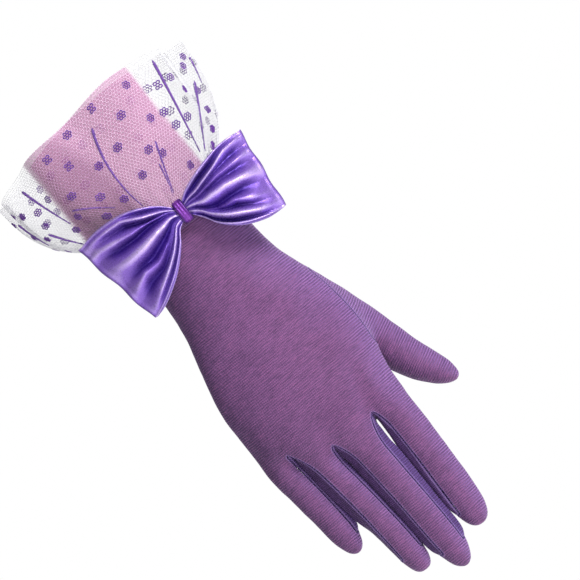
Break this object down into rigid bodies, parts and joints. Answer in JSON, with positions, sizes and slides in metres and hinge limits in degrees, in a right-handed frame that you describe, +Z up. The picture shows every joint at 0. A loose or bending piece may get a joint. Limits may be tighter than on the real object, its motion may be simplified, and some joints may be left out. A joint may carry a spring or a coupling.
{
  "type": "dress glove",
  "caption": "Wrist length dress glove for the right hand, with slim fingers, a set-in thumb, a flared and gathered net cuff and a satin bow on the back of the wrist.",
  "frame": {"origin": "middle of the wrist seam, the mouth of the hand panel, on the forearm's axis", "axes": "+Z up the forearm towards the elbow, with the fingers pointing down; -Y out of the back of the hand; +X towards the thumb's side"},
  "size_m": [0.1166, 0.0707, 0.2719],
  "materials": {
    "glove_knit": "fine matt knit",
    "fourchette_knit": "fine matt knit",
    "net": "hexagonal net with woven dots",
    "satin": "glossy satin weave",
    "knot_satin": "satin weave ribbon"
  },
  "bodies": {
    "root": {"hand_panel": "glove_knit", "thumb_panel": "glove_knit", "fourchette_index_middle": "fourchette_knit", "fourchette_middle_ring": "fourchette_knit", "fourchette_ring_little": "fourchette_knit", "net_cuff": "net", "satin_bow": "satin", "bow_knot": "knot_satin"}
  },
  "joints": []
}
